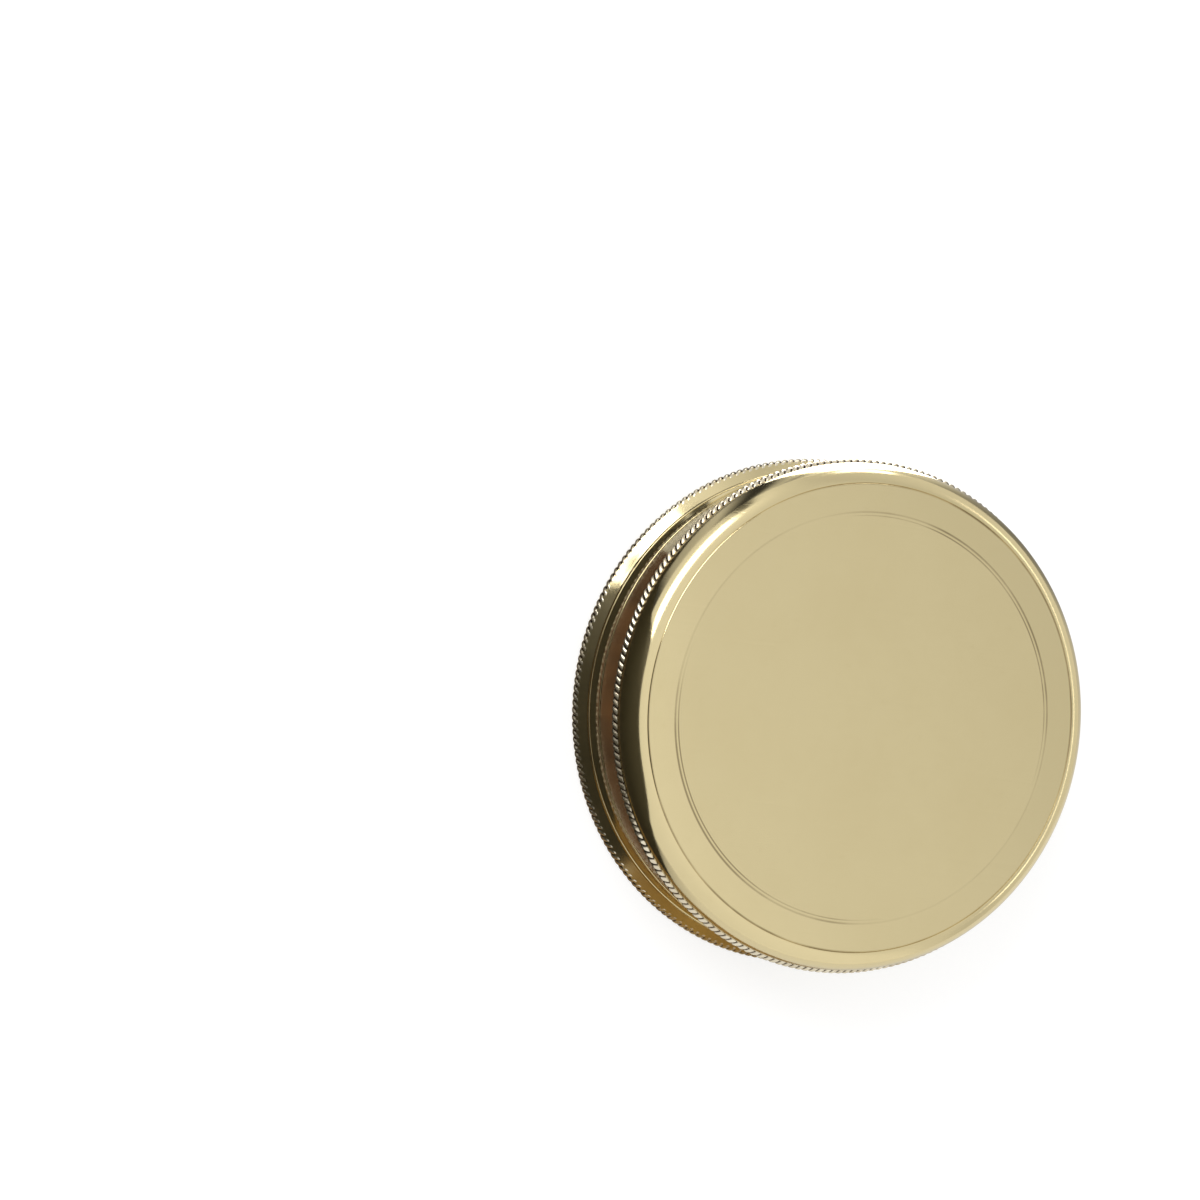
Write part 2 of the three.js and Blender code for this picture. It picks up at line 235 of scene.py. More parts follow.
def metalFinish(name, bright, toned, amount=0.3, cloudSize=60.0, smooth=0.16, worn=0.3):
    material, tree, shader = newMaterial(name, {"Metallic": 1})
    tones = {"Bright": (*bright, 1), "Toned": (*toned, 1), "Cloud Size": cloudSize, "Amount": amount}
    toning = addNode(tree, "ShaderNodeGroup", tones, node_tree=tarnish).outputs
    feed(tree, shader.inputs["Base Color"], toning["Color"])
    feed(tree, shader.inputs["Roughness"], ramp(tree, toning["Cloud"], [(0, smooth), (1, worn)]))
    marks = addNode(tree, "ShaderNodeGroup", node_tree=turning).outputs["Height"]
    bump = addNode(tree, "ShaderNodeBump", {"Strength": 0.25, "Distance": 0.02 * mm, "Height": marks})
    feed(tree, shader.inputs["Normal"], bump.outputs["Normal"])
    return material


def darkened(material, mask, colour):
    # Lays a darker tone over a finish where the mask is 1
    tree = material.node_tree
    target = tree.nodes["Principled BSDF"].inputs["Base Color"]
    feed(tree, target, blend(tree, mask, target.links[0].from_socket, (*colour, 1)))


def knurlFinish(name, grooveShadeAndDirt, **values):
    # Painted shade and settled dirt between the teeth: a dark tone where the piece's groove attribute nears 1
    material = metalFinish(name, knurlBright, knurlToned, **values)
    tree = material.node_tree
    groove = addNode(tree, "ShaderNodeAttribute", attribute_name="groove")
    darkened(material, ramp(tree, groove.outputs["Fac"], [(0.16, 0), (0.5, 1)]), grooveShadeAndDirt)
    return material


def lidFinish(name, marks, scribeShadeColour, **values):
    # Marks are (radius, width, least strength) of scribed circles, painted as the shade in their grooves
    material = metalFinish(name, brassBright, brassToned, **values)
    for radius, width, least in marks:
        inputs = {"Radius": radius * mm, "Width": width * mm, "Least": least}
        mark = addNode(material.node_tree, "ShaderNodeGroup", inputs, node_tree=scribeShade)
        darkened(material, mark.outputs["Mask"], scribeShadeColour)
    return material


def mottledFinish(name, dark, light, grain, roughness):
    # Paint, filling, rubber or stone: two close tones in a fine mottle
    material, tree, shader = newMaterial(name, {"Roughness": roughness})
    mottle = noise(tree, objectPlace(tree), grain)
    feed(tree, shader.inputs["Base Color"], ramp(tree, mottle, [(0.32, (*dark, 1)), (0.72, (*light, 1))]))
    return material


def glassFinish():
    inputs = {"Base Color": (0.97, 0.99, 0.985, 1), "Roughness": 0.0, "IOR": 1.5, "Transmission Weight": 1}
    return newMaterial("clear glass", inputs)[0]


brassBright = (0.76, 0.645, 0.37)
brassToned = (0.64, 0.525, 0.275)
knurlBright = (0.84, 0.77, 0.6)
knurlToned = (0.5, 0.4, 0.25)
finishes = {
    # The lid's circles are painted groove shade, in the darker colour below
    "lid": lidFinish("lid brass", ((30.15, 0.22, 0.2), (29.65, 0.15, 0.0), (34.3, 0.22, 0.35)),
                     (0.26, 0.2, 0.1), amount=0.2, smooth=0.13, worn=0.18),
    # The knurl's dark colour is painted shade and dirt between its teeth
    "knurl": knurlFinish("knurled brass", (0.06, 0.035, 0.02), amount=0.7, cloudSize=160, smooth=0.2,
                         worn=0.32),
    "case": metalFinish("case brass", brassBright, brassToned, smooth=0.1, worn=0.18),
    "small": metalFinish("small brass", (0.8, 0.66, 0.35), brassToned, cloudSize=300, smooth=0.16),
    "calendar": metalFinish("calendar brass", (0.78, 0.67, 0.38), brassToned, amount=0.25, smooth=0.24,
                            worn=0.34),
    "silver": metalFinish("silvered dial", (0.84, 0.82, 0.75), (0.74, 0.70, 0.60), amount=0.35, smooth=0.42,
                          worn=0.52, cloudSize=120),
    "steel": metalFinish("bright steel", (0.6, 0.61, 0.63), (0.45, 0.45, 0.45), amount=0.2, smooth=0.2),
    "blued": metalFinish("blued steel", (0.035, 0.07, 0.3), (0.06, 0.05, 0.2), amount=0.4, smooth=0.18,
                         worn=0.28, cloudSize=400),
    "ink": mottledFinish("black filling", (0.012, 0.012, 0.012), (0.04, 0.04, 0.04), 1500, 0.5),
    "red": mottledFinish("red filling", (0.3, 0.018, 0.015), (0.45, 0.035, 0.028), 1200, 0.45),
    "rubber": mottledFinish("black gasket", (0.014, 0.014, 0.014), (0.04, 0.04, 0.04), 4000, 0.8),
    "jewel": mottledFinish("red stone", (0.35, 0.02, 0.06), (0.6, 0.05, 0.12), 1800, 0.08),
    "glass": glassFinish(),
    "card": mottledFinish("black card", (0.034, 0.031, 0.021), (0.058, 0.053, 0.036), 6, 0.9),
    "amber": mottledFinish("amber board", (0.32, 0.19, 0.06), (0.58, 0.4, 0.15), 60, 0.8),
    "board": mottledFinish("brown board", (0.045, 0.02, 0.008), (0.15, 0.07, 0.03), 90, 0.8),
}
print("finishes made")

# Modelling helpers

weld = 0.0008  # corners nearer than this are one


def asObject(bm, name):
    mesh = bpy.data.meshes.new(name)
    bm.to_mesh(mesh)
    bm.free()
    holder = bpy.data.objects.new(name, mesh)
    scene.collection.objects.link(holder)
    return holder


def finishPiece(bm, name, finish, body, replaces=(), smooth=True, sharpAngle=32):
    bmesh.ops.remove_doubles(bm, verts=bm.verts, dist=weld)
    bmesh.ops.recalc_face_normals(bm, faces=bm.faces)
    bmesh.ops.scale(bm, vec=(mm, mm, mm), verts=bm.verts)
    piece = asObject(bm, name)
    mesh = piece.data
    mesh.materials.append(finishes[finish])
    if smooth:
        mesh.shade_smooth()
        mesh.set_sharp_from_angle(angle=math.radians(sharpAngle))
        weighted = piece.modifiers.new("even shading", "WEIGHTED_NORMAL")
        weighted.keep_sharp = True
    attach(piece, body)
    if replaces:
        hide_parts(*replaces)
    return piece


def addProfile(bm, corners, closed, roundSteps=4):
    # Corners are (radius, height, rounding), walked anticlockwise round the section
    verts = [bm.verts.new((corner[0], 0, corner[1])) for corner in corners]
    pairs = list(zip(verts, verts[1:]))
    if closed:
        pairs.append((verts[-1], verts[0]))
    for pair in pairs:
        bm.edges.new(pair)
    for rounding in sorted({corner[2] for corner in corners if len(corner) > 2}):
        chosen = [v for v, corner in zip(verts, corners) if len(corner) > 2 and corner[2] == rounding]
        steps = roundSteps if rounding < 0.8 else roundSteps * 3
        bmesh.ops.bevel(bm, geom=chosen, offset=rounding, offset_type="OFFSET", segments=steps, profile=0.5,
                        affect="VERTICES", material=-1)


def everything(bm):
    return list(bm.verts) + list(bm.edges) + list(bm.faces)


def spin(bm, angle, steps, rise=0.0, merge=False, copies=False):
    bmesh.ops.spin(bm, geom=everything(bm), cent=(0, 0, 0), axis=(0, 0, 1), dvec=(0, 0, rise), angle=angle,
                   steps=steps, use_merge=merge, use_duplicate=copies)


def turnedSolid(corners, closed=False, steps=192):
    bm = bmesh.new()
    addProfile(bm, corners, closed)
    spin(bm, math.tau, steps, merge=True)
    bmesh.ops.remove_doubles(bm, verts=bm.verts, dist=weld)
    bmesh.ops.recalc_face_normals(bm, faces=bm.faces)
    return bm


def turnedPiece(name, corners, finish, body, replaces=(), closed=False, steps=192):
    return finishPiece(turnedSolid(corners, closed, steps), name, finish, body, replaces)


def ring(inner, outer, bottom, top, edge=0.0):
    section = [(inner, bottom), (outer, bottom), (outer, top), (inner, top)]
    return [(*corner, edge) for corner in section] if edge else section


def disc(radius, bottom, top):
    return [(0, bottom), (radius, bottom), (radius, top), (0, top)]


def block(size, matrix):
    bm = bmesh.new()
    bmesh.ops.create_cube(bm, size=1, matrix=matrix @ Matrix.Diagonal((*size, 1)))
    return bm


def cutAway(bm, cutter):
    # Takes the cutter's volume out of the solid, and leaves neither blank nor cutter behind
    blank, tool = asObject(bm, "blank"), asObject(cutter, "cutter")
    cut = blank.modifiers.new("cut", "BOOLEAN")
    cut.operation = "DIFFERENCE"
    cut.solver = "EXACT"
    cut.object = tool
    result = bmesh.new()
    result.from_object(blank, bpy.context.evaluated_depsgraph_get())
    for holder in (blank, tool):
        mesh = holder.data
        bpy.data.objects.remove(holder)
        bpy.data.meshes.remove(mesh)
    return result


def addSolid(bm, solid):
    mesh = bpy.data.meshes.new("part")
    solid.to_mesh(mesh)
    solid.free()
    bm.from_mesh(mesh)
    bpy.data.meshes.remove(mesh)


def join(solids):
    bm = bmesh.new()
    for solid in solids:
        addSolid(bm, solid)
    return bm


def moved(bm, matrix):
    bmesh.ops.transform(bm, matrix=matrix, verts=bm.verts)
    return bm


def placed(bm, place):
    return moved(bm, Matrix.Translation(place))


def curved(start, control, end, samples=10):
    # Points along a quadratic curve, without its last one
    points = []
    for i in range(samples):
        t = i / samples
        points.append(tuple((1 - t) ** 2 * a + 2 * t * (1 - t) * b + t * t * c
                            for a, b, c in zip(start, control, end)))
    return points


def onCircle(count, circle, first):
    angles = [math.radians(first + 360 * i / count) for i in range(count)]
    return [Vector((circle * math.cos(a), circle * math.sin(a), 0)) for a in angles]


def repeatRound(bm, count):
    spin(bm, math.tau * (count - 1) / count, count - 1, copies=True)


# Flat outlines and lettering

under = Matrix.Rotation(math.pi, 4, "Y")  # turns work laid out as seen from below to face down
inkDepth = 0.03


def addCurve(bm, curve, matrix):
    holder = bpy.data.objects.new("outline", curve)
    mesh = bpy.data.meshes.new_from_object(holder)
    mesh.transform(matrix)
    bm.from_mesh(mesh)
    bpy.data.objects.remove(holder)
    bpy.data.curves.remove(curve)
    bpy.data.meshes.remove(mesh)


def addText(bm, text, size, matrix):
    curve = bpy.data.curves.new("lettering", "FONT")
    curve.body = text
    curve.size = size
    curve.align_x = "CENTER"
    curve.align_y = "CENTER"
    curve.extrude = inkDepth / 2
    curve.resolution_u = 3
    addCurve(bm, curve, matrix)


def addFlat(bm, outlines, thickness, matrix, bevel=0.0):
    # The first outline is the outside, and the others are holes in it
    curve = bpy.data.curves.new("flat", "CURVE")
    curve.dimensions = "2D"
    curve.fill_mode = "BOTH"
    curve.extrude = thickness / 2 - bevel
    curve.bevel_depth = bevel
    curve.bevel_resolution = 1
    curve.offset = -bevel
    for outline in outlines:
        spline = curve.splines.new("POLY")
        spline.points.add(len(outline) - 1)
        spline.use_cyclic_u = True
        for point, (x, y) in zip(spline.points, outline):
            point.co = (x, y, 0, 1)
    addCurve(bm, curve, matrix)


def roundAt(turn, radius, height, tilt=0.0):
    # A place on a ring, at an angle clockwise from north, facing up, with its top outwards
    return (Matrix.Rotation(-math.radians(turn), 4, "Z") @ Matrix.Translation((0, radius, height))
            @ Matrix.Rotation(math.radians(tilt), 4, "X"))


def addCircleLine(bm, radius, width, height):
    addSolid(bm, turnedSolid(ring(radius - width / 2, radius + width / 2, height - inkDepth / 2,
                                  height + inkDepth / 2), closed=True, steps=144))


# Knurled grip rings

knurl = {
    "teeth": 216,
    "columns": 6,
    "rows": 9,
    "width": 1.4,
    "depth": 0.5,
    "edge": 0.85,  # how far the rims lie under the crest
    "round": 0.85,
    "lean": 1.4,  # how far a tooth runs round from rim to rim, in teeth
    "lidLift": 0.5,  # the lid's ring sits this much over the plain ring of the solid
}


def knurledRing(name, bottom, rootRadius, body):
    # One strand of the rope, leaning across the ring, is shaped from a grid and repeated all round
    bm = bmesh.new()
    groove = bm.verts.layers.float.new("groove")
    bmesh.ops.create_grid(bm, x_segments=knurl["columns"], y_segments=knurl["rows"], size=1)
    pitch = math.tau / knurl["teeth"]
    for vert in bm.verts:
        across, along = vert.co.x / 2, (vert.co.y + 1) / 2
        bulge = max(0.0, math.sin(math.pi * along)) ** knurl["round"]
        strand = math.sqrt(max(0.0, 1 - (2 * across) ** 2))
        fade = min(1.0, 4 * min(along, 1 - along) + 0.15)
        radius = gripRadius - knurl["edge"] * (1 - bulge) - knurl["depth"] * (1 - strand) * fade
        angle = pitch * (across + knurl["lean"] * (along - 0.5))
        # The groove value marks where the knurl's finish paints shade and dirt between the strands
        vert[groove] = (1 - strand) * min(1.0, 6 * min(along, 1 - along) + 0.25)
        vert.co = (radius * math.cos(angle), radius * math.sin(angle), bottom + knurl["width"] * along)
    repeatRound(bm, knurl["teeth"])
    bmesh.ops.remove_doubles(bm, verts=bm.verts, dist=weld)
    rims = [edge for edge in bm.edges if edge.is_boundary]
    root = bmesh.ops.extrude_edge_only(bm, edges=rims)["geom"]
    for vert in [part for part in root if isinstance(part, bmesh.types.BMVert)]:
        vert.co.xy = vert.co.xy.normalized() * rootRadius
        vert[groove] = 0
    bmesh.ops.bridge_loops(bm, edges=[edge for edge in bm.edges if edge.is_boundary])
    return finishPiece(bm, name, "knurl", body, sharpAngle=50)


# Screw threads

thread = {"pitch": 1.15, "width": 0.8, "flat": 0.25, "steps": 72}


def helicalThread(name, root, crest, bottom, top, finish, body):
    bm = bmesh.new()
    half, flat = thread["width"] / 2, thread["flat"] / 2
    corners = [(root, -half), (crest, -flat), (crest, flat), (root, half)]
    verts = [bm.verts.new((r, 0, bottom + half + z)) for r, z in corners]
    for pair in zip(verts, verts[1:] + verts[:1]):
        bm.edges.new(pair)
    turns = (top - bottom - thread["width"]) / thread["pitch"]
    steps = round(turns * thread["steps"])
    spin(bm, math.tau * steps / thread["steps"], steps, rise=thread["pitch"] / thread["steps"])
    bmesh.ops.holes_fill(bm, edges=[edge for edge in bm.edges if edge.is_boundary], sides=4)
    return finishPiece(bm, name, finish, body, sharpAngle=25)


# Lid

lid = {"wall": 36.0, "bore": 34.95, "rimBore": 34.6, "threadCrest": 34.5, "ringBottom": 15.05,
       "ringMiddle": 15.95, "boreStep": 14.9, "shoulderRadius": 37.4, "shoulderDrop": 3.7, "shoulderSteps": 28,
       "face": 34.4, "top": 1.2, "step": 0.12, "dish": 0.1, "middle": 30.45}


def makeLid():
    top, bottom = lidHigh.z, lidLow.z
    rim = top - lid["step"]
    face, bore = lid["face"], lid["bore"]
    shoulder = []
    for i in range(lid["shoulderSteps"]):
        angle = math.pi / 2 * i / lid["shoulderSteps"]
        shoulder.append((face + (lid["shoulderRadius"] - face) * math.cos(angle),
                         rim - lid["shoulderDrop"] * (1 - math.sin(angle))))
    corners = [
        (0, top - lid["top"]),
        (bore - 0.4, top - lid["top"], 0.9),
        (bore - 0.4, lid["boreStep"] + 0.4),
        (bore, lid["boreStep"]),
        (bore, bottom + 0.9),
        (lid["rimBore"], bottom + 0.6),
        (lid["rimBore"], bottom, 0.12),
        (lid["wall"], bottom, 0.2),
        (lid["wall"], lid["ringMiddle"]),
        (lid["shoulderRadius"], lid["ringMiddle"]),
        *shoulder,
        (face + 0.04, rim),
        (face - 0.02, rim - 0.07),
        (face - 0.12, top - lid["dish"], 0.03),
        (lid["middle"], top - 0.004),
        (lid["middle"] - 0.6, top),
        (0, top),
    ]
    turnedPiece("lid_turning", corners, "lid", "lid", ["lid_shell"], steps=288)
    knurledRing("lid_knurl", lid["ringBottom"] + knurl["lidLift"], lid["wall"] - 0.2, "lid")
    helicalThread("lid_thread", bore + 0.1, lid["threadCrest"], bottom + 1.1, lid["boreStep"] - 0.1, "lid",
                  "lid")


makeLid()
print("lid made")

# Case

case = {"foot": 37.6, "lip": 36.05, "lipHeight": 1.25, "seam": 0.3, "cove": 35.15, "bead": 36.3,
        "beadBottom": 2.2, "beadWidth": 0.8, "recess": 33.0, "floorBottom": 3.4, "floorTop": 4.6,
        "dialSeat": 5.8, "ledge": 1.8, "glassSeat": 12.6, "spigot": 34.28, "threadRoot": 33.95,
        "threadBottom": 8.0, "threadTop": 14.7, "dialBore": 31.3, "glassBore": 32.8, "pivotHole": 1.58,
        "boss": 1.8}
screwHole = 0.68
dialScrewPlaces = onCircle(3, 24.0, 30.0)
calendarScrewPlaces = onCircle(4, 29.6, 45.0)


def drill(node, place):
    # A cutter for a screw's hole right through the node
    low, high = span(node)
    return placed(turnedSolid(disc(screwHole, low.z - 1, high.z + 1), steps=32), place)


def makeCase():
    foot, bead, cove, lip = case["foot"], case["bead"], case["cove"], case["lip"]
    hole, recess, bore = case["pivotHole"], case["recess"], case["dialBore"]
    spigot, root = case["spigot"], case["threadRoot"]
    threadBottom, threadTop = case["threadBottom"], case["threadTop"]
    floorTop, dialSeat, glassSeat = case["floorTop"], case["dialSeat"], case["glassSeat"]
    lipTop = lidLow.z - case["seam"]
    lipBottom = lipTop - case["lipHeight"]
    ringTop = knurl["width"]
    beadBottom = case["beadBottom"]
    beadTop = beadBottom + case["beadWidth"]
    neck = bead - 0.2
    # A small hollow between the foot's ring and the bead, and the cove over the bead
    hollow = curved((foot, ringTop - 0.2), (neck + 0.8, ringTop + 0.22), (neck, beadBottom))
    coveLow = curved((bead - 0.3, beadTop), (cove + 0.1, beadTop + 0.8), (cove, lipBottom - 1.1))
    coveHigh = curved((cove, lipBottom - 1.1), (cove, lipBottom - 0.3), (lip - 0.1, lipBottom))
    corners = [
        (hole, case["floorBottom"]), (recess, case["floorBottom"], 0.1), (recess, 0, 0.25), (foot, 0), *hollow,
        (neck, beadBottom), (bead, beadBottom + 0.2, 0.15), (bead, beadTop, 0.2), *coveLow, *coveHigh,
        (lip, lipBottom, 0.08), (lip, lipTop, 0.15), (spigot, lipTop), (spigot, threadBottom - 0.1),
        (root, threadBottom + 0.1), (root, threadTop - 0.1), (spigot, threadTop + 0.1), (spigot, caseTop, 0.3),
        (case["glassBore"], caseTop, 0.1), (case["glassBore"], glassSeat), (bore, glassSeat, 0.1),
        (bore, dialSeat), (bore - case["ledge"], dialSeat), (bore - case["ledge"], floorTop), (hole, floorTop),
    ]
    turnedPiece("case_turning", corners, "case", "case", ["case_body"], closed=True, steps=288)
    knurledRing("case_knurl", 0.05, foot - 0.6, "case")
    helicalThread("case_thread", root - 0.1, spigot, threadBottom + 0.1, threadTop - 0.1, "case", "case")
    boss = ring(screwHole, case["boss"], floorTop, dialSeat)
    bosses = [placed(turnedSolid(boss, closed=True, steps=32), place) for place in dialScrewPlaces]
    finishPiece(join(bosses), "dial_bosses", "case", "case")


makeCase()
print("case made")

# Dial with its print, and the degree ring

dial = {"hole": 2.4, "letters": 20.3, "letterSize": 4.4, "halfSize": 2.5, "lines": (17.9, 22.35, 25.6),
        "lineWidth": 0.16, "rosePoints": ((17.2, 4.25), (12.6, 3.4), (8.6, 2.04)), "roseLayer": 0.004}
degrees = {"slopeInner": 26.3, "slopeOuter": 28.5, "slopeRise": 1.3, "numberRadius": 29.55, "numberSize": 1.55,
           "marks": ((360, 0.9, 0.07), (72, 1.5, 0.09), (36, 2.2, 0.13)), "markStart": 26.45}


def rosePoint(length, waist, turn, side, height):
    # Half of one point of the rose: from the middle out to the waist, and on to the tip
    solid = bmesh.new()
    shoulder = (side * waist / 2, waist / 2 / math.tan(math.radians(22.5)))
    addFlat(solid, [[(0, dial["hole"]), shoulder, (0, length)]], inkDepth, roundAt(turn, 0, height))
    return solid


def makeDial():
    low, high = span("dial_plate")
    plate = turnedSolid(ring(dial["hole"], high.x, low.z, high.z, 0.06), closed=True)
    holes = [drill("dial_plate", place) for place in dialScrewPlaces]
    finishPiece(cutAway(plate, join(holes)), "dial", "silver", "case", ["dial_plate"])
    top = high.z + inkDepth / 2
    printed = bmesh.new()
    for index, letters in enumerate(("N", "NE", "E", "SE", "S", "SW", "W", "NW")):
        size = dial["halfSize"] if index % 2 else dial["letterSize"]
        addText(printed, letters, size, roundAt(45 * index, dial["letters"], top))
    for radius in dial["lines"]:
        addCircleLine(printed, radius, dial["lineWidth"], top)
    dark, pale = [printed], []
    for index in range(16):
        level = (0, 2, 1, 2)[index % 4]  # long points, then half points, with small ones between them
        point = (*dial["rosePoints"][level], 22.5 * index)
        height = top + dial["roseLayer"] * (2 - level)
        dark.append(rosePoint(*point, 1, height))
        if level < 2:
            pale.append(rosePoint(*point, -1, height))
    finishPiece(join(dark), "dial_print", "ink", "case", smooth=False)
    finishPiece(join(pale), "dial_rose", "red", "case", smooth=False)


def tick(length, width):
    # A degree mark on the ring's sloping inner face
    slopeWidth = degrees["slopeOuter"] - degrees["slopeInner"]
    tilt = math.degrees(math.atan2(degrees["slopeRise"], slopeWidth))
    base = span("degree_ring")[1].z - degrees["slopeRise"]
    lift = (degrees["markStart"] - degrees["slopeInner"]) * degrees["slopeRise"] / slopeWidth
    start = roundAt(0, degrees["markStart"], base + lift, tilt)
    return block((width, length, inkDepth), start @ Matrix.Translation((0, length / 2, inkDepth / 2)))


def makeDegreeRing():
    low, high = span("degree_ring")
    corners = [
        (degrees["slopeInner"], low.z), (high.x, low.z), (high.x, high.z, 0.08),
        (degrees["slopeOuter"], high.z, 0.05), (degrees["slopeInner"], high.z - degrees["slopeRise"]),
    ]
    turnedPiece("degree_scale", corners, "silver", "case", ["degree_ring"], closed=True)
    marks = []
    for count, length, width in degrees["marks"]:
        mark = tick(length, width)
        repeatRound(mark, count)
        marks.append(mark)
    numbers = bmesh.new()
    for value in range(0, 360, 10):
        addText(numbers, str(value), degrees["numberSize"],
                roundAt(value, degrees["numberRadius"], high.z + inkDepth / 2))
    marks.append(numbers)
    finishPiece(join(marks), "degree_print", "ink", "case", smooth=False)


makeDial()
makeDegreeRing()
print("dial made")

# Screws

screw = {"shank": 0.6, "head": 1.25, "height": 0.6, "slotWidth": 0.3, "slotDepth": 0.3,
         "dialLength": 2.0, "dialSlots": (20, 75, 130),  # the slots' turns in degrees
         "calendarLength": 1.7, "calendarSlots": (10, 62, 115, 160)}


def slottedScrew(name, place, headBase, length, facing, slotTurn):
    head, height = screw["head"], screw["height"]
    corners = [(0, -length), (screw["shank"], -length, 0.12), (screw["shank"], 0), (head, 0),
               (head, height * 0.55, 0.12), (head - 0.3, height, 0.2), (0, height)]
    slot = block((head * 3, screw["slotWidth"], screw["slotDepth"] * 2),
                 Matrix.Rotation(math.radians(slotTurn), 4, "Z") @ Matrix.Translation((0, 0, height)))
    bm = cutAway(turnedSolid(corners, steps=40), slot)
    moved(bm, Matrix.Translation((place.x, place.y, headBase)) @ facing)
    finishPiece(bm, name + "_slotted", "small", "case", [name])


def makeScrews(kind, places, headBase, facing):
    for index, (place, turn) in enumerate(zip(places, screw[kind + "Slots"])):
        slottedScrew(f"{kind}_screw_{index + 1}", place, headBase, screw[kind + "Length"], facing, turn)


makeScrews("dial", dialScrewPlaces, span("dial_screw_1")[1].z - screw["height"], Matrix.Identity(4))
makeScrews("calendar", calendarScrewPlaces, span("calendar_screw_1")[0].z + screw["height"], under)
print("screws made")

# Pivot, needle and hub

needle = {"reach": 23.0, "width": 5.4, "neck": 14.0, "tailPlace": 15.0, "tailWidth": 0.9, "hole": 1.78,
          "bevel": 0.08}
hub = {"stem": 1.7, "flange": 2.3, "flangeHeight": 0.55, "dome": 1.55, "tip": 0.6, "play": 0.05}
pivot = {"hole": 0.48, "holeDepth": 1.5, "shank": 1.5, "flange": 3.2, "flangeHeight": 0.85, "pillar": 2.1,
         "tip": 1.0, "pin": 0.4, "pinTip": 0.06}


def makeNeedle():
    low, high = span("needle_blade")
    half, reach, neck = needle["width"] / 2, needle["reach"], needle["neck"]
    tail = (-needle["tailWidth"], -needle["tailPlace"])
    west = [
        *curved((0, reach), (-half * 0.9, reach - 7), (-half * 0.42, neck)),
        *curved((-half * 0.42, neck), (-half * 0.7, 6), (-half, 0)),
        *curved((-half, 0), (-half * 0.7, -6), tail),
        tail,
    ]
    east = [(-x, y) for x, y in reversed(west[1:])]
    hole = [place.xy for place in onCircle(48, needle["hole"], 0)]
    bm = bmesh.new()
    addFlat(bm, [west + [(0, -reach)] + east, hole], high.z - low.z,
            Matrix.Translation((0, 0, (low.z + high.z) / 2)), needle["bevel"])
    bmesh.ops.bisect_plane(bm, geom=everything(bm), plane_co=(0, 0, 0), plane_no=(0, 1, 0))
    for face in bm.faces:
        face.material_index = 0 if face.calc_center_median().y > 0 else 1
    blade = finishPiece(bm, "needle_spear", "blued", "needle", ["needle_blade"], sharpAngle=20)
    blade.data.materials.append(finishes["steel"])

    low, high = span("needle_hub")
    jewelLow, jewelHigh = span("hub_jewel")
    flangeBottom = span("needle_blade")[1].z + hub["play"]
    bore, boreTop = jewelHigh.x + 0.08, jewelHigh.z + hub["play"]
    corners = [(0, boreTop), (bore, boreTop), (bore, low.z), (hub["stem"], low.z, 0.05),
               (hub["stem"], flangeBottom), (hub["flange"], flangeBottom),
               (hub["flange"], flangeBottom + hub["flangeHeight"], 0.12), (hub["dome"], boreTop + 0.4, 0.25),
               (hub["tip"], high.z - 0.02, 0.2), (0, high.z)]
    turnedPiece("needle_cap", corners, "small", "needle", ["needle_hub"], steps=64)
    corners = [(0, span("pivot_point")[1].z + hub["play"]), (0.75, jewelLow.z, 0.05),
               (jewelHigh.x, jewelLow.z, 0.08), (jewelHigh.x, jewelHigh.z, 0.08), (0, jewelHigh.z)]
    turnedPiece("cup_stone", corners, "jewel", "needle", ["hub_jewel"], steps=48)

    low, high = span("balance_weight")
    size, middle = high - low, (high + low) / 2
    sleeve = block(size, Matrix.Translation(middle))
    bmesh.ops.bevel(sleeve, geom=list(sleeve.edges), offset=0.18, segments=3, profile=0.5, affect="EDGES",
                    material=-1)
    slot = block((size.x - 0.6, size.y * 3, 0.66), Matrix.Translation(middle))
    finishPiece(cutAway(sleeve, slot), "balance_sleeve", "small", "needle", ["balance_weight"])


def makePivot():
    low, high = span("pivot_post")
    pinLow, pinHigh = span("pivot_point")
    flange = case["floorTop"] + 0.05
    flangeTop = flange + pivot["flangeHeight"]
    corners = [(0, low.z), (pivot["shank"], low.z), (pivot["shank"], flange), (pivot["flange"], flange),
               (pivot["flange"], flangeTop, 0.12), (pivot["pillar"], flangeTop + 0.2, 0.1),
               (pivot["pillar"], high.z - 1.6, 0.15), (pivot["tip"], high.z, 0.12), (pivot["hole"], high.z),
               (pivot["hole"], high.z - pivot["holeDepth"]), (0, high.z - pivot["holeDepth"])]
    turnedPiece("pivot_pillar", corners, "small", "case", ["pivot_post"], steps=64)
    corners = [(0, pinLow.z), (pivot["pin"], pinLow.z, 0.05), (pivot["pin"], pinHigh.z - 0.9, 0.1),
               (pivot["pinTip"], pinHigh.z - pivot["pinTip"], 0.03), (0, pinHigh.z)]
    turnedPiece("pivot_pin", corners, "steel", "case", ["pivot_point"], steps=32)


makeNeedle()
makePivot()
print("needle made")

# Glass, its gasket and its ring

glazing = {"gasketWidth": 1.5, "ringWidth": 2.1, "key": (4, 1.6, 1)}


